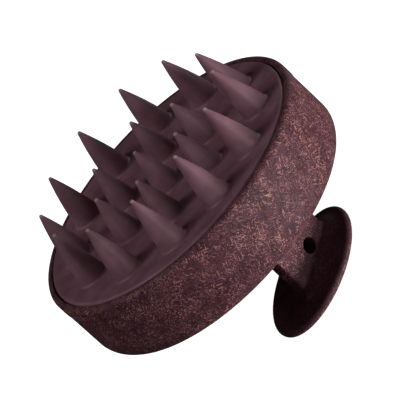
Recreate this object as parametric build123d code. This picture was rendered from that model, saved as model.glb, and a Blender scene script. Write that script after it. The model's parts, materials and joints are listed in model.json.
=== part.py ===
from build123d import *

import os
from math import atan, cos, degrees, radians, sin, sqrt

# Scalp massager brush, in millimetres, +Z up with the bristles on top.
# The origin is on the body's axis, level with the lowest point of the palm disc.
# The stem is a flat blade whose broad faces point along +Y and -Y.
# "Depth" is measured down from the plane of the housing's rim.
# A rounding on a thin part is held to a share of that part's thickness.

# Housing: a shallow cup with a rounded lip.
LIP_RADIUS = 37.7
LIP_DEPTH = 3.6
LIP_STEP = 0.15
LIP_ROUND = 1.2
BODY_DEPTH = 19.0
BACK_ROUND = 4.3
WALL = 1.55
BACK_WALL = 2.0
INNER_ROUND = 2.5

# Handle: a flat stem set off the body's axis, with a hanging hole, and an oval raked palm disc.
STEM_X = 12.0
STEM_WIDTH = 18.0
STEM_THICKNESS = 4.5
STEM_END_ROUND = 2.0
STEM_ROOT_FILLET = 2.0
HOLE_X = 12.75
HOLE_DEPTH = 40.0
HOLE_RADIUS = 1.95
PALM_X = 9.15
PALM_DEPTH = 44.0
PALM_LENGTH = 34.8
PALM_WIDTH = 24.2
PALM_THICKNESS = 2.0
PALM_CROWN = 1.0
PALM_FLAT_RADIUS = 9.0
PALM_RAKE = 10.5
PALM_EDGE_ROUND = 0.9
PALM_FILLET = 1.0
ROUND_SHARE = 0.46

# Silicone pad: a dished sheet with a skirt, and a cup under each bristle.
PAD_GAP = 0.3
PAD_EDGE_HEIGHT = 0.2
PAD_EDGE_ROUND = 0.8
PAD_DISH = 1.45
PAD_UNDERSIDE_DEPTH = 3.2
PAD_SKIRT_DEPTH = 5.0
PAD_SKIRT_WALL = 1.4
ROOT_CLEARANCE = 0.3
ROOT_CUP_WALL = 1.2
ROOT_CUP_DEPTH = 6.0

# Bristles: one in the centre, an inner ring and an outer ring of longer ones.
INNER_COUNT = 6
OUTER_COUNT = 12
INNER_RING_RADIUS = 14.45
OUTER_RING_RADIUS = 27.5
FIRST_INNER_ANGLE = 37.2
FIRST_OUTER_ANGLE = 7.4
SHORT_LENGTH = 12.1
LONG_LENGTH = 14.2
SHORT_BASE_RADIUS = 3.35
LONG_BASE_RADIUS = 3.55
TIP_RADIUS = 0.5
BRISTLE_BULGE = 0.2

# Carrier: a rigid plate that backs the pad and pegs into bosses in the housing.
PLATE_THICKNESS = 2.0
PLATE_SIDE_GAP = 0.3
CUP_HOLE_CLEARANCE = 0.2
PEG_COUNT = 3
PEG_RING_RADIUS = 21.5
PEG_ANGLE = 22.2
PEG_RADIUS = 1.5
PEG_LENGTH = 5.8
PEG_CLEARANCE = 0.05
BOSS_WALL = 1.5
BOSS_GAP = 1.0
RIB_COUNT = 6
RIB_REACH = 4.5
RIB_THICKNESS = 1.5

# Sizes that follow from the ones above.
rake = radians(PALM_RAKE)
stem_end_round = min(STEM_END_ROUND, ROUND_SHARE * STEM_THICKNESS)
palm_edge_round = min(PALM_EDGE_ROUND, ROUND_SHARE * PALM_THICKNESS)
wall_radius = LIP_RADIUS - LIP_STEP
opening_radius = wall_radius - WALL
crown_radius = ((PALM_LENGTH / 2) ** 2 + PALM_CROWN**2) / (2 * PALM_CROWN)
crown_centre = PALM_THICKNESS + PALM_CROWN - crown_radius
face_height = crown_centre + sqrt(crown_radius**2 - PALM_FLAT_RADIUS**2)
edge_reach = PALM_LENGTH / 2 - palm_edge_round
edge_centre = crown_centre + sqrt((crown_radius - palm_edge_round) ** 2 - edge_reach**2)
rim_z = PALM_DEPTH + edge_centre * cos(rake) + edge_reach * sin(rake) + palm_edge_round
back_z = rim_z - BODY_DEPTH
floor_z = back_z + BACK_WALL
pad_radius = opening_radius - PAD_GAP
dish_edge = pad_radius - PAD_EDGE_ROUND
dish_radius = (dish_edge**2 + PAD_DISH**2) / (2 * PAD_DISH)
dish_low_z = rim_z + PAD_EDGE_HEIGHT - PAD_DISH
plate_radius = pad_radius - PAD_SKIRT_WALL - PLATE_SIDE_GAP
plate_top_z = rim_z - PAD_UNDERSIDE_DEPTH
plate_low_z = plate_top_z - PLATE_THICKNESS
boss_top_z = plate_low_z - BOSS_GAP


def dish_z(radius):
    """Height of the pad's dished face at a distance from the axis."""
    return dish_low_z + dish_radius - sqrt(dish_radius**2 - radius**2)


def dish_lean(radius):
    """Angle in degrees by which the dish's normal leans towards the axis."""
    return degrees(atan(radius / sqrt(dish_radius**2 - radius**2)))


def ring(radius, count, first_angle):
    """Places around the axis as (radius, angle) pairs."""
    return [(radius, first_angle + 360 / count * turn) for turn in range(count)]


centre_places = [(0.0, 0.0)]
inner_places = ring(INNER_RING_RADIUS, INNER_COUNT, FIRST_INNER_ANGLE)
outer_places = ring(OUTER_RING_RADIUS, OUTER_COUNT, FIRST_OUTER_ANGLE)
short_places = centre_places + inner_places
peg_places = ring(PEG_RING_RADIUS, PEG_COUNT, PEG_ANGLE)
rib_places = ring(opening_radius, RIB_COUNT, PEG_ANGLE)


def around(place, height=0.0):
    """Location at a ring place, turned so that its local X points away from the axis."""
    radius, angle = place
    return Rot(0, 0, angle) * Pos(radius, 0, height)


def disc(radius, low, high):
    """Cylinder about +Z between two heights."""
    return Pos(0, 0, low) * Cylinder(radius, high - low, align=(Align.CENTER, Align.CENTER, Align.MIN))


def turned(outline):
    """Solid turned about +Z from (corner, corner radius) pairs in the XZ plane."""
    points = [point for point, _ in outline]
    radii = [radius for _, radius in outline]
    wire = Plane.XZ * FilletPolyline(*points, radius=radii, close=True)
    return revolve(make_face(wire), Axis.Z)


waist_z = rim_z - LIP_DEPTH
cup_outside = [
    ((0, back_z), 0),
    ((wall_radius, back_z), BACK_ROUND),
    ((wall_radius, waist_z - LIP_STEP), LIP_STEP / 2),
    ((LIP_RADIUS, waist_z), LIP_STEP / 2),
    ((LIP_RADIUS, rim_z), LIP_ROUND),
]
cup_inside = [
    ((opening_radius, rim_z), 0),
    ((opening_radius, floor_z), INNER_ROUND),
    ((0, floor_z), 0),
]


def palm_plane():
    """Plane of the palm disc's underside, with its normal pointing away from the body."""
    return Plane(
        origin=(PALM_X, 0, rim_z - PALM_DEPTH),
        x_dir=(cos(rake), 0, sin(rake)),
        z_dir=(sin(rake), 0, -cos(rake)),
    )


def palm_disc():
    """Oval disc with a rounded edge and a palm face that is crowned round a flat middle."""
    oval = Ellipse(PALM_LENGTH / 2, PALM_WIDTH / 2)
    blank = extrude(palm_plane() * oval, amount=face_height)
    crown = palm_plane() * Pos(0, 0, crown_centre) * Sphere(crown_radius)
    disc_body = blank & crown
    rims = [edge for edge in disc_body.edges() if edge.length > 2 * PALM_LENGTH]
    return fillet(rims, palm_edge_round)


def stem():
    """Flat blade from inside the cup's back to the middle of the palm disc."""
    section = Rectangle(STEM_WIDTH, STEM_THICKNESS)
    section = fillet(section.vertices(), stem_end_round)
    length = BACK_WALL / 2 + PALM_DEPTH - BODY_DEPTH + PALM_LENGTH / 2
    start = Plane(origin=(STEM_X, 0, back_z + BACK_WALL / 2), z_dir=(0, 0, -1))
    blade = extrude(start * section, amount=length)
    cut = palm_plane().offset(PALM_THICKNESS / 2)
    return split(blade, bisect_by=cut, keep=Keep.BOTTOM)


def stem_edges_on(body, plane):
    """Edges where the stem's sides meet a face that lies in a plane."""
    return body.edges().filter_by(
        lambda edge: abs(plane.to_local_coords(edge.center()).Z) < 0.01
        and edge.bounding_box().size.X < STEM_WIDTH
        and abs(edge.center().Y) < STEM_THICKNESS
    )


def housing():
    """Cup, stem and palm disc in one moulding, with the ribs and bosses inside the cup."""
    body = turned(cup_outside + cup_inside) + stem()
    body = fillet(stem_edges_on(body, Plane.XY.offset(back_z)), STEM_ROOT_FILLET)
    body = body + palm_disc()
    body = fillet(stem_edges_on(body, palm_plane()), PALM_FILLET)
    body -= Pos(HOLE_X, 0, rim_z - HOLE_DEPTH) * Rot(90, 0, 0) * Cylinder(HOLE_RADIUS, 2 * PALM_WIDTH)
    boss_radius = PEG_RADIUS + PEG_CLEARANCE + BOSS_WALL
    for place in peg_places:
        body += around(place) * disc(boss_radius, floor_z - BACK_WALL / 2, boss_top_z)
    for place in peg_places:
        body -= around(place) * disc(PEG_RADIUS + PEG_CLEARANCE, floor_z, boss_top_z)
    rib_height = plate_low_z - floor_z + BACK_WALL / 2
    filled_cup = turned([*cup_outside, ((0, rim_z), 0)])
    for _, angle in rib_places:
        at_inner_end = (Align.MIN, Align.CENTER, Align.MAX)
        rib = Box(RIB_REACH + WALL / 2, RIB_THICKNESS, rib_height, align=at_inner_end)
        placed_rib = Rot(0, 0, angle) * Pos(opening_radius - RIB_REACH, 0, plate_low_z) * rib
        body += placed_rib & filled_cup
    return body


def silicone_pad():
    """Dished sheet with a rounded edge, a skirt and a cup under each bristle."""
    edge_z = rim_z + PAD_EDGE_HEIGHT
    skirt_z = rim_z - PAD_SKIRT_DEPTH
    skirt_inner = pad_radius - PAD_SKIRT_WALL
    half_edge = dish_edge / 2
    face = ThreePointArc((0, dish_low_z), (half_edge, dish_z(half_edge)), (dish_edge, edge_z))
    bead = RadiusArc((dish_edge, edge_z), (pad_radius, edge_z - PAD_EDGE_ROUND), PAD_EDGE_ROUND)
    under = Polyline(
        (pad_radius, edge_z - PAD_EDGE_ROUND),
        (pad_radius, skirt_z),
        (skirt_inner, skirt_z),
        (skirt_inner, plate_top_z),
        (0, plate_top_z),
        (0, dish_low_z),
    )
    pad = revolve(make_face(Plane.XZ * (face + bead + under)), Axis.Z)
    for places, base_radius in ((short_places, SHORT_BASE_RADIUS), (outer_places, LONG_BASE_RADIUS)):
        socket_radius = base_radius + ROOT_CLEARANCE
        cup_low_z = rim_z - ROOT_CUP_DEPTH
        for place in places:
            root_cup = disc(socket_radius + ROOT_CUP_WALL, cup_low_z, plate_top_z + ROOT_CUP_WALL / 2)
            pad += around(place) * root_cup
        for place in places:
            pad -= around(place, dish_z(place[0])) * Sphere(socket_radius)
    return pad


def bristle(place, length, base_radius):
    """Cone with a slight belly, a round tip and a ball root, square to the dish."""
    shoulder = length - TIP_RADIUS
    belly = (base_radius + TIP_RADIUS) / 2 + BRISTLE_BULGE
    diagonal = sin(radians(45))
    root_middle = (base_radius * diagonal, -base_radius * diagonal)
    root = ThreePointArc((0, -base_radius), root_middle, (base_radius, 0))
    side = ThreePointArc((base_radius, 0), (belly, shoulder / 2), (TIP_RADIUS, shoulder))
    tip_middle = (TIP_RADIUS * diagonal, shoulder + TIP_RADIUS * diagonal)
    tip = ThreePointArc((TIP_RADIUS, shoulder), tip_middle, (0, length))
    axis_line = Line((0, length), (0, -base_radius))
    solid = revolve(make_face(Plane.XZ * (root + side + tip + axis_line)), Axis.Z)
    return around(place, dish_z(place[0])) * Rot(0, -dish_lean(place[0]), 0) * solid


def carrier_plate():
    """Disc with a hole for each cup of the pad and three pegs underneath."""
    plate = disc(plate_radius, plate_low_z, plate_top_z)
    for places, base_radius in ((short_places, SHORT_BASE_RADIUS), (outer_places, LONG_BASE_RADIUS)):
        hole_radius = base_radius + ROOT_CLEARANCE + ROOT_CUP_WALL + CUP_HOLE_CLEARANCE
        for place in places:
            plate -= around(place) * disc(hole_radius, plate_low_z, plate_top_z)
    for place in peg_places:
        plate += around(place) * disc(PEG_RADIUS, plate_low_z - PEG_LENGTH, plate_low_z + PLATE_THICKNESS / 2)
    return plate


nodes = {
    "housing": housing(),
    "silicone_pad": silicone_pad(),
    "carrier_plate": carrier_plate(),
    "bristle_centre": bristle(centre_places[0], SHORT_LENGTH, SHORT_BASE_RADIUS),
}
for number, place in enumerate(inner_places, start=1):
    nodes[f"bristle_inner_{number}"] = bristle(place, SHORT_LENGTH, SHORT_BASE_RADIUS)
for number, place in enumerate(outer_places, start=1):
    nodes[f"bristle_outer_{number:02d}"] = bristle(place, LONG_LENGTH, LONG_BASE_RADIUS)

os.makedirs("parts", exist_ok=True)
for name, shape in nodes.items():
    export_step(shape, f"parts/{name}.step")
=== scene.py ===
"""Looks of the scalp massager brush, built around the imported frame.

Lengths are metres unless a name ends in _mm. +Z is the way the bristles point, and the stem's
broad faces point along Y.
"""

from __future__ import annotations

import json
import logging
import math
from dataclasses import dataclass, field
from enum import Enum
from typing import Any, Iterable, Sequence

import bmesh
import bpy
import numpy as np
from mathutils import Matrix, Vector

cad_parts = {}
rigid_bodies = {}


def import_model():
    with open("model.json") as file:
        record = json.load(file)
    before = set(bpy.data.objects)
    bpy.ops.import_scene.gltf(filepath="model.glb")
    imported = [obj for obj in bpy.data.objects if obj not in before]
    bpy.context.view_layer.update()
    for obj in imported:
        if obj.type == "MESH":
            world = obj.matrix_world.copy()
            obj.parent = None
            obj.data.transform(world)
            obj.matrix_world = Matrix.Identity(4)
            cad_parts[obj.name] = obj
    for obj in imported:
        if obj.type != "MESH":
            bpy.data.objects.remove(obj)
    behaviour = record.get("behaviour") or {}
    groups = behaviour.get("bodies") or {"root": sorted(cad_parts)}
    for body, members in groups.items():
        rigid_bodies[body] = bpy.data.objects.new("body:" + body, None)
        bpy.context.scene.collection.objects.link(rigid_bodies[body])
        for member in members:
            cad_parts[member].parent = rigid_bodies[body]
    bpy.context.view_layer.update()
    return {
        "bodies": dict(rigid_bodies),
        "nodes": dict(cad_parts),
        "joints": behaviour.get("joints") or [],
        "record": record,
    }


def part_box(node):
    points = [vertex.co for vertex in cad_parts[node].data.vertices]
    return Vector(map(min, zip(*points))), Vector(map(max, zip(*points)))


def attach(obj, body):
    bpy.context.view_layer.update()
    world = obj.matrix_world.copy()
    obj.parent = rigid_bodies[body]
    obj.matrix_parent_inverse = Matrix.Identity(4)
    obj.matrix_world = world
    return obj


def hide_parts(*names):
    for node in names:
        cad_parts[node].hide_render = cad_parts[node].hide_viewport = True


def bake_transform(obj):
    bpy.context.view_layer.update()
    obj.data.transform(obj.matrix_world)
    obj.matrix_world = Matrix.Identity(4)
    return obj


MM = 0.001
log = logging.getLogger("scalp_brush")


class Slot(Enum):
    """The record's material slots."""

    HOUSING = "fibre_composite"
    SILICONE = "silicone"
    CARRIER = "inner_plastic"


# ---------------------------------------------------------------- surfaces


def rounded_outline(
    corners: Sequence[tuple[float, float, float]], run: float, turn: float = 9.0
) -> np.ndarray:
    """Open outline of straight runs joined by tangent arcs.

    A corner of radius r cuts both of its runs back by r / tan(half the inside angle), and the arc's
    centre lies on the bisector at r / sin(half the inside angle) from the corner.

    Args:
        corners: (across, up, radius) of each corner, the first and last with radius 0.
        run: longest step along a straight run.
        turn: largest turn of one step along an arc, in degrees.

    Returns:
        Points as an array of shape (n, 2).
    """
    points = np.array([corner[:2] for corner in corners], float)
    pieces = [points[:1]]
    for before, here, after, corner in zip(points[:-2], points[1:-1], points[2:], corners[1:-1]):
        inward, outward = before - here, after - here
        inward, outward = inward / np.linalg.norm(inward), outward / np.linalg.norm(outward)
        radius = corner[2]
        if radius <= 0:
            pieces.append(here[None])
            continue
        half = math.acos(float(np.clip(inward @ outward, -1, 1))) / 2
        bisector = (inward + outward) / np.linalg.norm(inward + outward)
        centre = here + bisector * radius / math.sin(half)
        first = here + inward * radius / math.tan(half) - centre
        swept = math.pi - 2 * half
        side = np.sign(inward[0] * outward[1] - inward[1] * outward[0])
        angles = -side * np.linspace(0, swept, max(2, math.ceil(math.degrees(swept) / turn)) + 1)
        cosines, sines = np.cos(angles), np.sin(angles)
        arc = np.stack([first[0] * cosines - first[1] * sines, first[0] * sines + first[1] * cosines], 1)
        pieces.append(centre + arc)
    pieces.append(points[-1:])
    chain = np.concatenate(pieces)
    return subdivided(chain, run)


def subdivided(chain: np.ndarray, run: float) -> np.ndarray:
    """Outline with each stretch longer than run cut into equal steps."""
    lengths = np.linalg.norm(np.diff(chain, axis=0), axis=1)
    counts = np.maximum(1, np.ceil(lengths / run - 1e-6)).astype(int)
    starts = np.repeat(chain[:-1], counts, axis=0)
    spans = np.repeat(np.diff(chain, axis=0) / counts[:, None], counts, axis=0)
    step = np.arange(counts.sum()) - np.repeat(np.cumsum(counts) - counts, counts)
    return np.concatenate([starts + spans * step[:, None], chain[-1:]])


def turned(outline: np.ndarray, angles: np.ndarray) -> np.ndarray:
    """Grid of an outline turned about Z: row i, column j is outline point i at angle j."""
    across, up = outline[:, :1], outline[:, 1:]
    return np.stack(
        [across * np.cos(angles), across * np.sin(angles), np.broadcast_to(up, (len(up), len(angles)))], -1
    )


def even_turn(count: int) -> np.ndarray:
    """Angles of a full turn in equal steps, the last step left open."""
    return np.linspace(0, 2 * math.pi, count, endpoint=False)


def signed_power(values: np.ndarray, power: np.ndarray | float) -> np.ndarray:
    """Each value's size raised to a power, with its sign kept."""
    return np.sign(values) * np.abs(values) ** power


def smooth(values: np.ndarray) -> np.ndarray:
    """Smooth step from 0 to 1: 3t^2 - 2t^3 on values clipped to that range."""
    clipped = np.clip(values, 0, 1)
    return clipped * clipped * (3 - 2 * clipped)


def ring_grid_object(name: str, grid: np.ndarray) -> bpy.types.Object:
    """Closed object from a grid of rings.

    Args:
        name: the object's name.
        grid: points of shape (rows, columns, 3); columns close on themselves, and the first and
            last rows are single points, the poles.

    Returns:
        A smooth-shaded object whose faces point outwards.
    """
    rows, columns = grid.shape[:2]
    index = np.arange(rows * columns).reshape(rows, columns)
    right = np.roll(index, -1, axis=1)
    quads = np.stack([index[:-1], right[:-1], right[1:], index[1:]], -1).reshape(-1, 4)
    mesh = bpy.data.meshes.new(name)
    mesh.from_pydata(grid.reshape(-1, 3).tolist(), [], quads.tolist())
    weld(mesh)
    piece = bpy.data.objects.new(name, mesh)
    bpy.context.scene.collection.objects.link(piece)
    return piece


def weld(mesh: bpy.types.Mesh) -> None:
    """Merges doubled points, drops empty faces and turns every face outwards."""
    work = bmesh.new()
    work.from_mesh(mesh)
    bmesh.ops.remove_doubles(work, verts=work.verts, dist=1e-7)
    bmesh.ops.dissolve_degenerate(work, edges=work.edges, dist=1e-8)
    bmesh.ops.recalc_face_normals(work, faces=work.faces)
    work.to_mesh(mesh)
    work.free()
    mesh.shade_smooth()


# ---------------------------------------------------------------- shader maths


class Wire:
    """An output socket of a shader node, on which Python's operators add Math nodes."""

    def __init__(self, graph: Graph, node: bpy.types.Node, output: int | str = 0) -> None:
        """Keeps the graph, the node and which of its outputs is meant."""
        self.graph = graph
        self.host = node
        self.socket = node.outputs[output]

    def of(self, output: str) -> Wire:
        """Another output of the same node."""
        return Wire(self.graph, self.host, output)

    def __add__(self, other: Wire | float) -> Wire:
        """Sum of two values."""
        return self.graph.maths("ADD", self, other)

    __radd__ = __add__

    def __mul__(self, other: Wire | float) -> Wire:
        """Product of two values."""
        return self.graph.maths("MULTIPLY", self, other)

    __rmul__ = __mul__

    def __sub__(self, other: Wire | float) -> Wire:
        """Difference of two values."""
        return self.graph.maths("SUBTRACT", self, other)

    def __rsub__(self, other: Wire | float) -> Wire:
        """Difference, with this value taken away."""
        return self.graph.maths("SUBTRACT", other, self)

    def __truediv__(self, other: Wire | float) -> Wire:
        """Quotient of two values."""
        return self.graph.maths("DIVIDE", self, other)

    def __pow__(self, other: Wire | float) -> Wire:
        """Power of a value."""
        return self.graph.maths("POWER", self, other)

    def peak(self, other: Wire | float) -> Wire:
        """Larger of two values."""
        return self.graph.maths("MAXIMUM", self, other)

    def step(self, low: float, high: float) -> Wire:
        """Smooth step that is 0 at low and 1 at high, or the reverse where low is the larger."""
        settings = {"interpolation_type": "SMOOTHSTEP"}
        ends = (low, high, 0.0, 1.0) if low < high else (high, low, 1.0, 0.0)
        names = ("From Min", "From Max", "To Min", "To Max")
        values = {"Value": self, **dict(zip(names, ends))}
        return self.graph.node("ShaderNodeMapRange", settings, values)


class Graph:
    """The node tree of one material, with its Principled shader."""

    def __init__(self, name: str) -> None:
        """Starts a material with a Principled shader and its output."""
        self.material = bpy.data.materials.new(name)
        self.material.use_nodes = True
        self.tree = self.material.node_tree
        self.shader = self.tree.nodes["Principled BSDF"]

    def node(self, kind: str, settings: dict[str, Any], inputs: dict[str | int, Any]) -> Wire:
        """Adds a node.

        Args:
            kind: the node's type.
            settings: its properties, set first.
            inputs: values or wires of its sockets, by name or number.

        Returns:
            The node's first output.
        """
        made = self.tree.nodes.new(kind)
        for key, value in settings.items():
            setattr(made, key, value)
        for key, value in inputs.items():
            self.feed(made.inputs[key], value)
        return Wire(self, made)

    def feed(self, socket: bpy.types.NodeSocket, value: Any) -> None:
        """Links a wire to a socket, or sets the socket's own value."""
        if isinstance(value, Wire):
            self.tree.links.new(value.socket, socket)
        else:
            socket.default_value = value

    def maths(self, operation: str, first: Wire | float, second: Wire | float) -> Wire:
        """Adds a Math node on two values."""
        return self.node("ShaderNodeMath", {"operation": operation}, {0: first, 1: second})

    def object_mm(self) -> Wire:
        """Object coordinates in millimetres."""
        place = self.node("ShaderNodeTexCoord", {}, {}).of("Object")
        return self.node("ShaderNodeVectorMath", {"operation": "SCALE"}, {0: place, "Scale": 1 / MM})

    def noise(self, place: Wire, scale: float, detail: float = 2.0, roughness: float = 0.5) -> Wire:
        """Noise value over a place; scale is in waves per millimetre."""
        values = {"Vector": place, "Scale": scale, "Detail": detail, "Roughness": roughness}
        return self.node("ShaderNodeTexNoise", {}, values)

    def mix(self, share: Wire | float, first: Any, second: Any) -> Wire:
        """Colour between two colours."""
        made = self.node("ShaderNodeMix", {"data_type": "RGBA"}, {0: share, 6: first, 7: second})
        return Wire(self, made.host, 2)

    def finish(
        self,
        colour: Wire,
        roughness: Wire | float,
        bump: Wire | None,
        depth: float,
        **constants: float,
    ) -> bpy.types.Material:
        """Feeds the shader.

        Args:
            colour: base colour.
            roughness: roughness.
            bump: height of the surface, from 0 to 1, or None.
            depth: the bump's full height in metres.
            constants: values that are the same all over, by socket name with _ for a space.

        Returns:
            The material.
        """
        self.feed(self.shader.inputs["Base Color"], colour)
        self.feed(self.shader.inputs["Roughness"], roughness)
        if bump is not None:
            normal = self.node("ShaderNodeBump", {}, {"Strength": 1.0, "Distance": depth, "Height": bump})
            self.feed(self.shader.inputs["Normal"], normal)
        for key, value in constants.items():
            self.shader.inputs[key.replace("_", " ")].default_value = value
        return self.material


def rgba(red: float, green: float, blue: float) -> tuple[float, float, float, float]:
    """Opaque colour from linear red, green and blue."""
    return (red, green, blue, 1.0)


# ---------------------------------------------------------------- finishes


@dataclass(frozen=True)
class FibreComposite:
    """Moulded husk-fibre composite: a mottled brown matrix full of short pale fibres."""

    dark: tuple[float, float, float] = (0.018, 0.006, 0.011)
    middle: tuple[float, float, float] = (0.142, 0.042, 0.052)
    cool: tuple[float, float, float] = (0.085, 0.038, 0.064)
    pale: tuple[float, float, float] = (0.72, 0.34, 0.29)
    fibre_layers: int = 9
    fibre_length_mm: float = 4.4
    fibre_width_mm: float = 0.40
    rim_height_mm: float = 49.08
    palm_height_mm: float = 3.39
    palm_rake: float = math.radians(10.5)
    rim_fibre_share: float = 0.4
    # Under the palm: the share of fibres left, and the strength of the painted shade there.
    palm_shade_fibre_share: float = 0.15
    palm_painted_shade: float = 0.55
    sparse_share: float = 0.45
    fibre_strength: float = 0.7
    bend_waves_per_mm: float = 0.9
    bend_mm: float = 0.12
    grain_height: float = 0.03 * MM
    seed: int = 7

    def fibres(self, graph: Graph, place: Wire) -> Wire:
        """Share of pale fibre at a place.

        Each layer stretches space along one direction and puts a small ball round each Voronoi
        point, so the balls are thin spindles. A cell's own random colour thins out the spindles.

        Args:
            graph: the material's nodes.
            place: coordinates in millimetres.

        Returns:
            0 in the matrix, up to 1 in a fibre.
        """
        draw = np.random.default_rng(self.seed)
        total: Wire | float = 0.0
        squeeze = (1 / self.fibre_length_mm, 1 / self.fibre_width_mm, 1 / self.fibre_width_mm)
        for _ in range(self.fibre_layers):
            turn = tuple(float(angle) for angle in draw.uniform(0, math.pi, 3))
            shift = tuple(float(offset) for offset in draw.uniform(-40, 40, 3))
            placing = {"Vector": place, "Rotation": turn, "Location": shift}
            turned_place = graph.node("ShaderNodeMapping", {"vector_type": "POINT"}, placing)
            scaling = {0: turned_place, 1: squeeze}
            stretched = graph.node("ShaderNodeVectorMath", {"operation": "MULTIPLY"}, scaling)
            cells = graph.node("ShaderNodeTexVoronoi", {}, {"Vector": stretched, "Scale": 1.0})
            luck = graph.node("ShaderNodeSeparateColor", {}, {0: cells.of("Color")})
            spindle = cells.step(0.29, 0.17) * luck.step(0.45, 0.95)
            total = spindle if isinstance(total, float) else total.peak(spindle)
        return total

    def fibre_and_painted_shade_masks(self, graph: Graph, place: Wire) -> tuple[Wire, Wire]:
        """Where the fibres thin out, and where painted shade darkens the housing.

        The fibres thin out on the very top of the rim. On the palm disc's underside and the foot of the
        stem, where the body shades them, the fibres are thinned and the matrix darkened: painted shade. The
        place there is measured square to the raked disc.

        Args:
            graph: the material's nodes.
            place: coordinates in millimetres.

        Returns:
            The share of the fibres that shows below the rim's top, and the share outside the painted shade
            under the palm.
        """
        apart = graph.node("ShaderNodeSeparateXYZ", {}, {0: place})
        east, height = apart.of("X"), apart.of("Z")
        below_rim = height.step(self.rim_height_mm + 0.1, self.rim_height_mm - 0.9)
        slope = math.tan(self.palm_rake)
        above_disc = height - east * slope - self.palm_height_mm
        in_disc = above_disc.step(-0.5, -1.3)
        on_stem = above_disc.step(2.4, 6.0)
        below_rim = below_rim * (1 - self.rim_fibre_share) + self.rim_fibre_share
        return below_rim, in_disc.peak(on_stem)

    def material(self) -> bpy.types.Material:
        """Builds the finish."""
        graph = Graph("husk_fibre_composite")
        place = graph.object_mm()
        wave = {"Vector": place, "Scale": self.bend_waves_per_mm, "Detail": 1.0}
        bend = graph.node("ShaderNodeTexNoise", {}, wave).of("Color")
        bend = graph.node("ShaderNodeVectorMath", {"operation": "SCALE"}, {0: bend, "Scale": self.bend_mm})
        bent = graph.node("ShaderNodeVectorMath", {"operation": "ADD"}, {0: place, 1: bend})
        patches = graph.noise(place, 0.2, 2.0)
        below_rim, outside_painted_shade = self.fibre_and_painted_shade_masks(graph, place)
        # Fibres thinned in the painted shade under the palm.
        fibre_share_outside_shade = outside_painted_shade * (1 - self.palm_shade_fibre_share) + self.palm_shade_fibre_share
        in_patches = patches.step(0.32, 0.60) * (1 - self.sparse_share) + self.sparse_share
        fibre = self.fibres(graph, bent) * below_rim * fibre_share_outside_shade * in_patches
        grain = graph.noise(place, 2.6, 3.0, 0.62)
        cloud = graph.noise(place, 0.35, 2.0)
        tint = graph.noise(bent, 1.1, 2.0)
        matrix = graph.mix(grain.step(0.32, 0.62), rgba(*self.dark), rgba(*self.middle))
        matrix = graph.mix(tint.step(0.42, 0.66) * 0.65, matrix, rgba(*self.cool))
        matrix = graph.mix(cloud.step(0.62, 0.34) * 0.45, matrix, rgba(*self.dark))
        # Painted shade: the matrix darkens where the body shades the palm's underside and the stem's foot.
        matrix = graph.mix(outside_painted_shade * -self.palm_painted_shade + self.palm_painted_shade, matrix, rgba(*self.dark))
        colour = graph.mix(fibre * self.fibre_strength, matrix, rgba(*self.pale))
        roughness = 0.56 + grain * 0.16 - fibre * 0.12
        relief = grain * 0.6 + fibre * 0.4
        return graph.finish(colour, roughness, relief, self.grain_height, Specular_IOR_Level=0.2)


@dataclass(frozen=True)
class Silicone:
    """Soft matte silicone, a dark brown that leans to plum, with a faint bloom of dust and pale tips that
    are a painted highlight.
    """

    deep: tuple[float, float, float] = (0.178, 0.079, 0.105)
    light: tuple[float, float, float] = (0.234, 0.114, 0.147)
    dust: tuple[float, float, float] = (0.34, 0.20, 0.21)
    painted_tip_highlight: tuple[float, float, float] = (0.62, 0.44, 0.43)
    short_tip_mm: float = 60.1
    long_tip_mm: float = 62.9
    between_rings_mm: float = 20.5
    tip_mm: float = 0.7
    tip_strength: float = 0.5
    grain_height: float = 0.006 * MM

    def material(self) -> bpy.types.Material:
        """Builds the finish."""
        graph = Graph("plum_brown_silicone")
        place = graph.object_mm()
        cloud = graph.noise(place, 0.22, 3.0)
        grain = graph.noise(place, 5.0, 2.0)
        specks = graph.noise(place, 3.1, 4.0, 0.7)
        colour = graph.mix(cloud.step(0.3, 0.7), rgba(*self.deep), rgba(*self.light))
        colour = graph.mix(specks.step(0.60, 0.80) * 0.35, colour, rgba(*self.dust))
        apart = graph.node("ShaderNodeSeparateXYZ", {}, {0: place})
        east, north, height = apart.of("X"), apart.of("Y"), apart.of("Z")
        out_squared = east * east + north * north
        in_long_ring = out_squared.step(self.between_rings_mm**2, (self.between_rings_mm + 0.5) ** 2)
        below_tip = self.short_tip_mm + in_long_ring * (self.long_tip_mm - self.short_tip_mm) - height
        # Painted highlight: the colour pales towards each bristle's tip.
        colour = graph.mix(below_tip.step(self.tip_mm, 0.1) * self.tip_strength, colour, rgba(*self.painted_tip_highlight))
        roughness = 0.44 + grain * 0.12
        return graph.finish(colour, roughness, grain, self.grain_height, Specular_IOR_Level=0.28)


@dataclass(frozen=True)
class InnerPlastic:
    """Plain dark plastic of the plate behind the pad, with fine moulded grain."""

    dark: tuple[float, float, float] = (0.020, 0.014, 0.013)
    light: tuple[float, float, float] = (0.034, 0.025, 0.023)

    def material(self) -> bpy.types.Material:
        """Builds the finish."""
        graph = Graph("inner_plastic")
        place = graph.object_mm()
        grain = graph.noise(place, 3.0, 3.0)
        colour = graph.mix(grain.step(0.35, 0.65), rgba(*self.dark), rgba(*self.light))
        return graph.finish(colour, 0.40 + grain * 0.15, grain, 0.01 * MM)


@dataclass(frozen=True)
class PaleFloor:
    """Plain white floor that glows just enough to stay even all over."""

    tone: float = 0.9
    glow: float = 1.0

    def material(self) -> bpy.types.Material:
        """Builds the finish."""
        graph = Graph("pale_floor")
        graph.shader.inputs["Emission Color"].default_value = rgba(1.0, 1.0, 1.0)
        tone = graph.noise(graph.object_mm(), 0.01, 1.0)
        near = rgba(self.tone, self.tone, self.tone)
        far = rgba(self.tone * 0.99, self.tone * 0.99, self.tone * 0.99)
        return graph.finish(graph.mix(tone, near, far), 0.9, None, 0.0, Emission_Strength=self.glow)


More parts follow.
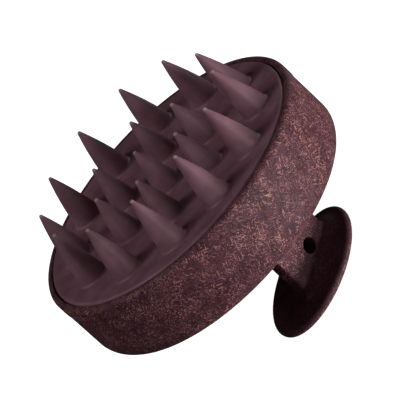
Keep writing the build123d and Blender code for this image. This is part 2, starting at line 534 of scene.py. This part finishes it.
# ---------------------------------------------------------------- the brush


def dress(piece: bpy.types.Object, material: bpy.types.Material) -> bpy.types.Object:
    """Gives a piece its material."""
    piece.data.materials.clear()
    piece.data.materials.append(material)
    return piece


@dataclass
class Cup:
    """Housing's cup: a shallow bowl with a rounded lip and a mould line down both sides."""

    rim_z: float
    lip_radius: float
    depth: float = 19.0 * MM
    lip_depth: float = 3.6 * MM
    lip_step: float = 0.15 * MM
    lip_round: float = 1.2 * MM
    lip_hollow: float = 0.5 * MM
    back_round: float = 4.3 * MM
    wall: float = 1.55 * MM
    rim_round: float = 0.25 * MM
    back_wall: float = 2.0 * MM
    inner_round: float = 2.5 * MM
    line_height: float = 0.10 * MM
    line_width: float = 0.16 * MM
    columns: int = 288

    @property
    def wall_radius(self) -> float:
        """Outer radius of the wall below the lip."""
        return self.lip_radius - self.lip_step

    @property
    def opening_radius(self) -> float:
        """Radius of the mouth that the pad sits in."""
        return self.wall_radius - self.wall

    @property
    def back_z(self) -> float:
        """Height of the flat back."""
        return self.rim_z - self.depth

    def outline(self) -> np.ndarray:
        """Outline from the middle of the back, up the outside, over the rim and down inside."""
        waist = self.rim_z - self.lip_depth
        floor = self.back_z + self.back_wall
        corners = [
            (0.0, self.back_z, 0.0),
            (self.wall_radius, self.back_z, self.back_round),
            (self.wall_radius, waist - self.lip_hollow, self.lip_hollow),
            (self.lip_radius, waist, self.lip_hollow),
            (self.lip_radius, self.rim_z, self.lip_round),
            (self.opening_radius, self.rim_z, self.rim_round),
            (self.opening_radius, floor, self.inner_round),
            (0.0, floor, 0.0),
        ]
        return rounded_outline(corners, run=1.1 * MM)

    def angles(self) -> np.ndarray:
        """Angles of a full turn, with extra ones across the mould line on each side."""
        across = np.array([0.05, 0.10, 0.16, 0.24, 0.36, 0.55]) * MM / self.wall_radius
        close = np.concatenate([-across[::-1], across])
        every = np.concatenate([even_turn(self.columns), close % (2 * math.pi), close + math.pi])
        return np.unique(np.round(every, 7))

    def build(self, material: bpy.types.Material) -> bpy.types.Object:
        """Builds the cup.

        The outline is turned about Z. Near the plane y = 0 the outside is pushed out by
        height * exp(-(y / width)^2), which is the mould line, and the push fades out where the
        outside ends at the rim and at the flat back.

        Args:
            material: the housing's finish.

        Returns:
            The dressed piece, riding on the housing.
        """
        outline, angles = self.outline(), self.angles()
        grid = turned(outline, angles)
        heights = grid[..., 2]
        outside = np.arange(len(outline)) < np.argmax(outline[:, 1]) + 1
        fade = smooth((self.rim_z - 0.4 * MM - heights) / (1.2 * MM))
        fade = fade * smooth((heights - self.back_z) / (2 * MM))
        ridge = self.line_height * np.exp(-((grid[..., 1] / self.line_width) ** 2)) * fade * outside[:, None]
        grid[..., 0] += ridge * np.cos(angles)
        grid[..., 1] += ridge * np.sin(angles)
        piece = ring_grid_object("housing_cup", grid)
        dress(piece, material)
        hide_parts("housing")
        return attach(piece, "housing")


@dataclass
class Handle:
    """Flat stem with a hanging hole, flowing into an oval raked palm disc."""

    back_z: float
    rim_z: float
    hole: Vector
    hole_radius: float
    stem_x: float = 12.0 * MM
    stem_half_width: float = 9.0 * MM
    stem_half_thickness: float = 2.25 * MM
    stem_squareness: tuple[float, float] = (2.9, 7.0)
    root_fillet: float = 2.0 * MM
    root_sink: float = 1.0 * MM
    palm_x: float = 9.15 * MM
    palm_depth: float = 44.0 * MM
    palm_half_length: float = 17.4 * MM
    palm_half_width: float = 12.1 * MM
    palm_thickness: float = 2.0 * MM
    palm_edge: float = 0.95 * MM
    palm_crown: float = 1.0 * MM
    palm_flat: float = 0.52
    palm_rise: float = 1.1 * MM
    palm_fillet: float = 1.1 * MM
    rake: float = math.radians(10.5)
    hole_round: float = 0.3 * MM
    hole_reach: float = 1.6 * MM
    columns: int = 220

    def ring(
        self,
        centre: np.ndarray,
        length: np.ndarray,
        width: np.ndarray,
        roundness: np.ndarray,
        tilt: np.ndarray,
    ) -> np.ndarray:
        """Rings of a superellipse.

        A ring's point at angle t lies length * |cos t|^roundness along the ring's own tilted X and
        width * |sin t|^roundness along Y from its centre; roundness 1 is an ellipse, and less is squarer.
        The ends towards +X and -X each have their own roundness.

        Args:
            centre: (n, 2) of X and Z.
            length: (n,) half lengths.
            width: (n,) half widths.
            roundness: (n, 2) powers, for the +X half and the -X half.
            tilt: (n,) angles of the ring's X above the horizontal.

        Returns:
            Points of shape (n, columns, 3).
        """
        angles = even_turn(self.columns)
        power = np.where(np.cos(angles) > 0, roundness[:, :1], roundness[:, 1:])
        along = length[:, None] * signed_power(np.cos(angles), power)
        aside = width[:, None] * signed_power(np.sin(angles), power)
        east = centre[:, :1] + along * np.cos(tilt)[:, None]
        up = centre[:, 1:] + along * np.sin(tilt)[:, None]
        return np.stack([east, aside, up], -1)

    def on_palm(self, forward: np.ndarray, drop: np.ndarray) -> np.ndarray:
        """X and Z of places given along the palm disc's length and down through its thickness."""
        east = self.palm_x + forward * math.cos(self.rake) + drop * math.sin(self.rake)
        up = self.rim_z - self.palm_depth + forward * math.sin(self.rake) - drop * math.cos(self.rake)
        return np.stack([east, up], 1)

    def stem_rings(self) -> np.ndarray:
        """Rings from inside the cup's back, round the root fillet and down the stem.

        The root fillet is a quarter circle: at angle t the ring is wider by f - f sin t and lies
        f - f cos t under the back. Lower down the rings tilt to meet the raked disc, and grow by
        1 / cos(tilt), so the stem's ends stay upright.
        """
        turn = np.radians(np.linspace(0, 90, 9))
        grow = np.concatenate([[0.0, self.root_fillet], self.root_fillet * (1 - np.sin(turn))])
        grow[0] = -self.stem_half_thickness
        up = self.back_z - self.root_fillet * (1 - np.cos(turn))
        up = np.concatenate([[self.back_z + self.root_sink] * 2, up])
        end_z = self.stem_end_z()
        share = np.linspace(0, 1, 42)[1:]
        grow_all = np.concatenate([grow, np.zeros(len(share))])
        length = self.stem_half_width + grow_all
        width = self.stem_half_thickness + grow_all
        up = np.concatenate([up, up[-1] + (end_z - up[-1]) * share])
        tilt = np.concatenate([np.zeros(len(grow)), self.rake * smooth(share)])
        centre = np.stack([np.full(len(up), self.stem_x), up], 1)
        power = np.tile(2 / np.array(self.stem_squareness), (len(up), 1))
        return self.ring(centre, length / np.cos(tilt), width, power, tilt)

    def stem_end_z(self) -> float:
        """Height, on the stem's own middle line, where the fillet to the palm disc starts."""
        offset = (self.stem_x - self.palm_x) / math.cos(self.rake)
        surface = self.on_palm(np.array([offset]), np.array([-self.palm_rise]))[0, 1]
        return float(surface) + self.palm_fillet

    def palm_rings(self) -> np.ndarray:
        """Rings round the fillet, out over the underside, round the edge and over the palm face.

        Between the stem and the edge the half lengths, half widths, centre and roundness run evenly
        from the stem's to the oval's, while the underside sinks by rise * (1 - t)^2. The edge is two
        quarter circles. The palm face is a low dome, crown * (1 - s^2) high at share s of the way to the
        edge, with a flat middle.
        """
        turn = np.radians(np.linspace(0, 90, 7))[1:]
        stem_length = self.stem_half_width / math.cos(self.rake)
        stem_forward = (self.stem_x - self.palm_x) / math.cos(self.rake)
        fillet_grow = self.palm_fillet * (1 - np.cos(turn))
        fillet_lift = self.palm_fillet * (1 - np.sin(turn))
        share = np.linspace(0, 1, 22)[1:]
        edge_turn = np.radians(np.linspace(0, 180, 17))[1:]
        face = np.linspace(1, 0, 20)[1:]
        oval_length = self.palm_half_length - self.palm_edge
        oval_width = self.palm_half_width - self.palm_edge
        start_length = stem_length + self.palm_fillet
        start_width = self.stem_half_thickness + self.palm_fillet
        square = 2 / np.array(self.stem_squareness)
        edge_drop = np.where(
            edge_turn <= math.pi / 2,
            self.palm_edge * (1 - np.cos(edge_turn)),
            self.palm_thickness - self.palm_edge * (1 + np.cos(edge_turn)),
        )
        length = np.concatenate(
            [
                stem_length + fillet_grow,
                start_length + (oval_length - start_length) * share,
                oval_length + self.palm_edge * np.sin(edge_turn),
                oval_length * face,
            ]
        )
        width = np.concatenate(
            [
                self.stem_half_thickness + fillet_grow,
                start_width + (oval_width - start_width) * share,
                oval_width + self.palm_edge * np.sin(edge_turn),
                oval_width * face,
            ]
        )
        beyond_edge = len(edge_turn) + len(face)
        forward = np.concatenate(
            [np.full(len(turn), stem_forward), stem_forward * (1 - share), np.zeros(beyond_edge)]
        )
        drop = np.concatenate(
            [
                -self.palm_rise - fillet_lift,
                -self.palm_rise * (1 - share) ** 2,
                edge_drop,
                self.palm_thickness + self.palm_crown * (1 - np.maximum(face, self.palm_flat) ** 2),
            ]
        )
        opening = square + (1 - square) * smooth(share * 1.4)[:, None]
        power = np.concatenate([np.tile(square, (len(turn), 1)), opening, np.ones((beyond_edge, 2))])
        tilt = np.full(len(length), self.rake)
        return self.ring(self.on_palm(forward, drop), length, width, power, tilt)

    def hole_cutter(self) -> bpy.types.Object:
        """Tool for the hanging hole: a round bar along Y that flares at both of the stem's faces.

        The flare is a quarter circle, so the hole's edges come out rounded.
        """
        turn = np.radians(np.linspace(0, 90, 7))
        face = self.stem_half_thickness
        flare_out = self.hole_radius + self.hole_round * (1 - np.cos(turn))
        flare_at = face - self.hole_round * (1 - np.sin(turn))
        outline = np.stack([flare_out, flare_at], 1)
        end = face + self.hole_reach
        beyond = np.array([[flare_out[-1], end], [0.0, end]])
        half = np.concatenate([outline, beyond])
        whole = np.concatenate([half[::-1] * (1, -1), half])
        grid = turned(whole, even_turn(64))
        cutter = ring_grid_object("hole_cutter", grid)
        cutter.data.transform(Matrix.Translation(self.hole) @ Matrix.Rotation(math.radians(90), 4, "X"))
        return cutter

    def build(self, material: bpy.types.Material) -> bpy.types.Object:
        """Builds the handle as one closed surface and cuts the hanging hole through it.

        Args:
            material: the housing's finish.

        Returns:
            The dressed piece, riding on the housing.
        """
        grid = np.concatenate([self.stem_rings(), self.palm_rings()])
        pole = np.tile((self.stem_x, 0.0, grid[0, 0, 2]), (1, self.columns, 1))
        grid = np.concatenate([pole, grid])
        piece = ring_grid_object("housing_handle", grid)
        cutter = self.hole_cutter()
        cut = piece.modifiers.new("hanging_hole", "BOOLEAN")
        cut.operation, cut.object, cut.solver = "DIFFERENCE", cutter, "EXACT"
        depsgraph = bpy.context.evaluated_depsgraph_get()
        cut_mesh = bpy.data.meshes.new_from_object(piece.evaluated_get(depsgraph))
        piece.modifiers.clear()
        piece.data = cut_mesh
        piece.data.name = piece.name
        piece.data.shade_smooth()
        bpy.data.objects.remove(cutter)
        dress(piece, material)
        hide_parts("housing")
        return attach(piece, "housing")


@dataclass
class Pad:
    """Silicone sheet: a shallow dish with a rounded edge and a skirt down inside the cup."""

    low: Vector
    high: Vector
    dish: float = 1.45 * MM
    edge_round: float = 0.8 * MM
    skirt_depth: float = 5.2 * MM
    underside: float = 3.4 * MM
    skirt_wall: float = 1.4 * MM
    columns: int = 240

    @property
    def radius(self) -> float:
        """Outer radius of the sheet."""
        return (self.high.x - self.low.x) / 2

    def dish_radius(self) -> float:
        """Radius of the sphere that the dish is a part of."""
        reach = self.radius - self.edge_round
        return (reach**2 + self.dish**2) / (2 * self.dish)

    def height(self, across: np.ndarray) -> np.ndarray:
        """Height of the dish at distances from the axis: low point + R - sqrt(R^2 - across^2)."""
        ball = self.dish_radius()
        return self.high.z - self.dish + ball - np.sqrt(ball**2 - across**2)

    def build(self, material: bpy.types.Material) -> bpy.types.Object:
        """Builds the sheet by turning its outline about Z.

        Args:
            material: the silicone's finish.

        Returns:
            The dressed piece, riding on the housing.
        """
        reach = self.radius - self.edge_round
        across = np.linspace(0, reach, 40)
        dish = np.stack([across, self.height(across)], 1)
        turn = np.radians(np.linspace(0, 90, 9))[1:]
        bead = np.stack(
            [reach + self.edge_round * np.sin(turn), self.high.z - self.edge_round * (1 - np.cos(turn))], 1
        )
        skirt_z = self.high.z - self.skirt_depth
        inner = self.radius - self.skirt_wall
        under_z = self.high.z - self.underside
        skirt = subdivided(
            np.array(
                [
                    bead[-1],
                    (self.radius, skirt_z),
                    (inner, skirt_z),
                    (inner, under_z),
                    (0.0, under_z),
                ]
            ),
            1.2 * MM,
        )
        outline = np.concatenate([dish, bead, skirt[1:]])
        piece = ring_grid_object("silicone_sheet", turned(outline, even_turn(self.columns)))
        dress(piece, material)
        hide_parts("silicone_pad")
        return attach(piece, "housing")


@dataclass
class Bristle:
    """One tapered bristle that grows out of the sheet through a small fillet."""

    node: str
    root: Vector
    lean: float
    bearing: float
    length: float
    base_radius: float
    tip_radius: float = 0.5 * MM
    fillet: float = 0.75 * MM
    belly: float = 0.28 * MM
    sink: float = 0.9 * MM
    bend_share: float = 0.6
    columns: int = 40

    def outline(self) -> np.ndarray:
        """Outline from inside the sheet, out along the fillet, up the side and over the tip.

        The fillet is a quarter circle from flat to upright. The side runs straight from the fillet
        to the tip, and its belly adds 4 * belly * s * (1 - s) at share s of the way up.
        """
        turn = np.radians(np.linspace(0, 90, 8))
        fillet = np.stack(
            [self.base_radius + self.fillet * (1 - np.sin(turn)), self.fillet * (1 - np.cos(turn))], 1
        )
        shoulder = self.length - self.tip_radius
        share = np.linspace(0, 1, 22)[1:]
        side_up = self.fillet + (shoulder - self.fillet) * share
        side_out = self.base_radius + (self.tip_radius - self.base_radius) * share
        side = np.stack([side_out + 4 * self.belly * share * (1 - share), side_up], 1)
        round_over = np.radians(np.linspace(0, 90, 7))[1:]
        tip = np.stack(
            [self.tip_radius * np.cos(round_over), shoulder + self.tip_radius * np.sin(round_over)], 1
        )
        tip[-1, 0] = 0.0
        widest = self.base_radius + self.fillet
        hidden = np.array([(0.0, -self.sink), (widest, -self.sink)])
        return np.concatenate([hidden, fillet, side, tip])

    def build(self, material: bpy.types.Material) -> bpy.types.Object:
        """Builds the bristle, square to the dish.

        Args:
            material: the silicone's finish.

        Returns:
            The dressed piece.
        """
        piece = ring_grid_object(f"{self.node}_skin", turned(self.outline(), even_turn(self.columns)))
        tilt = Matrix.Rotation(self.bearing, 4, "Z") @ Matrix.Rotation(-self.lean, 4, "Y")
        piece.data.transform(Matrix.Translation(self.root) @ tilt)
        dress(piece, material)
        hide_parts(self.node)
        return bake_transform(piece)


@dataclass
class Brush:
    """The whole brush, with its places read from the frame."""

    frame: dict[str, Any]
    pieces: list[bpy.types.Object] = field(default_factory=list)

    def bristles(self, pad: Pad) -> Iterable[Bristle]:
        """One bristle for each hinge, rooted at the hinge and as long as its CAD solid."""
        for joint in self.frame["joints"]:
            node = joint["child"]
            low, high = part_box(node)
            root = Vector(joint["pos_m"])
            across = math.hypot(root.x, root.y)
            lean = math.asin(across / pad.dish_radius())
            base_radius = (high - low).x / 2
            yield Bristle(
                node=node,
                root=root,
                lean=lean,
                bearing=math.atan2(root.y, root.x),
                length=(high.z - root.z) / math.cos(lean),
                base_radius=base_radius,
            )

    def build(self) -> None:
        """Builds and dresses every sub-assembly in order."""
        composite = FibreComposite().material()
        silicone = Silicone().material()
        mounts = {mount["name"]: mount for mount in self.frame["record"]["mounts"]}
        hole = mounts["hanging_hole"]
        low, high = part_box("housing")
        cup = Cup(rim_z=high.z, lip_radius=high.x)
        handle = Handle(
            back_z=cup.back_z,
            rim_z=cup.rim_z,
            hole=Vector(hole["pos_m"]),
            hole_radius=hole["dims"]["r_mm"] * MM,
        )
        pad = Pad(*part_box("silicone_pad"))
        self.pieces.append(cup.build(composite))
        self.pieces.append(handle.build(composite))
        self.pieces.append(pad.build(silicone))
        for bristle in self.bristles(pad):
            self.pieces.append(bristle.build(silicone))
        carrier = self.frame["nodes"]["carrier_plate"]
        self.pieces.append(dress(carrier, InnerPlastic().material()))
        for piece in self.pieces:
            log.info("%s: %d faces", piece.name, len(piece.data.polygons))


# ---------------------------------------------------------------- studio


@dataclass(frozen=True)
class Softbox:
    """A soft light: its direction from the brush along the camera's right, up and back, and its power."""

    name: str
    right: float
    up: float
    back: float
    watts: float


SOFTBOXES = (
    Softbox("key", 1.0, 0.0, 0.3, 8.0),
    Softbox("near_key", 0.7, 0.1, 0.8, 3.8),
    Softbox("side", -1.0, 0.0, 0.3, 2.6),
    Softbox("near_side", -0.7, 0.0, 0.8, 0.9),
    Softbox("near_low", -0.5, -0.5, 0.8, 0.55),
    Softbox("top", 0.7, 0.7, 0.3, 0.9),
    Softbox("rim_top", 0.2, 0.9, -0.5, 1.3),
)


@dataclass
class Studio:
    """Pale floor, soft lights and the main camera."""

    target: Vector
    azimuth: float = -34.3
    elevation: float = 23.4
    roll: float = 47.3
    distance: float = 1.003
    lens_mm: float = 395.2
    aside: float = -7.8 * MM
    above: float = 4.2 * MM
    floor_half: float = 4.0
    light_distance: float = 1.0
    light_size: float = 0.4
    world_strength: float = 0.004

    def axes(self) -> tuple[Vector, Vector, Vector]:
        """Camera's right, up and backward directions.

        Backward is (sin a cos e, -cos a cos e, sin e). Right and up are then turned about it by the roll.
        """
        a, e, r = (math.radians(angle) for angle in (self.azimuth, self.elevation, self.roll))
        back = Vector((math.sin(a) * math.cos(e), -math.cos(a) * math.cos(e), math.sin(e)))
        level = Vector((math.cos(a), math.sin(a), 0))
        upright = back.cross(level)
        right = math.cos(r) * level - math.sin(r) * upright
        up = math.sin(r) * level + math.cos(r) * upright
        return right, up, back

    def camera(self) -> None:
        """Makes the main camera."""
        right, up, back = self.axes()
        data = bpy.data.cameras.new("main_camera")
        data.lens = self.lens_mm
        data.sensor_width = 36.0
        data.clip_end = 50.0
        camera = bpy.data.objects.new("main_camera", data)
        place = self.target + back * self.distance - right * self.aside - up * self.above
        turn = Matrix((right, up, back)).transposed().to_4x4()
        camera.matrix_world = Matrix.Translation(place) @ turn
        bpy.context.scene.collection.objects.link(camera)
        bpy.context.scene.camera = camera

    def floor(self) -> None:
        """Makes the floor under the brush."""
        half = self.floor_half
        corners = [(-half, -half, 0), (half, -half, 0), (half, half, 0), (-half, half, 0)]
        mesh = bpy.data.meshes.new("floor")
        mesh.from_pydata(corners, [], [(0, 1, 2, 3)])
        mesh.materials.append(PaleFloor().material())
        floor = bpy.data.objects.new("floor", mesh)
        bpy.context.scene.collection.objects.link(floor)
        floor.visible_shadow = False
        floor.visible_diffuse = False
        floor.visible_glossy = False

    def softbox(self, box: Softbox) -> None:
        """Makes a square soft light that faces the brush."""
        right, up, back = self.axes()
        way = (right * box.right + up * box.up + back * box.back).normalized()
        data = bpy.data.lights.new(box.name, "AREA")
        data.shape, data.size, data.energy = "SQUARE", self.light_size, box.watts
        light = bpy.data.objects.new(box.name, data)
        light.location = self.target + way * self.light_distance
        light.rotation_mode = "QUATERNION"
        light.rotation_quaternion = way.to_track_quat("Z", "Y")
        bpy.context.scene.collection.objects.link(light)

    def build(self) -> None:
        """Makes the camera, the floor and the lights."""
        self.camera()
        self.floor()
        for box in SOFTBOXES:
            self.softbox(box)
        world = bpy.data.worlds.new("studio")
        world.use_nodes = True
        world.node_tree.nodes["Background"].inputs["Strength"].default_value = self.world_strength
        world.node_tree.nodes["Background"].inputs["Color"].default_value = (1, 1, 1, 1)
        scene = bpy.context.scene
        scene.world = world
        scene.view_settings.view_transform = "Standard"


def main() -> None:
    """Loads the frame, then builds the studio and the brush."""
    logging.basicConfig(level=logging.INFO, format="%(name)s %(message)s")
    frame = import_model()
    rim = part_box("housing")[1].z
    Studio(target=Vector((0, 0, rim))).build()
    Brush(frame).build()


if __name__ == "__main__":
    main()
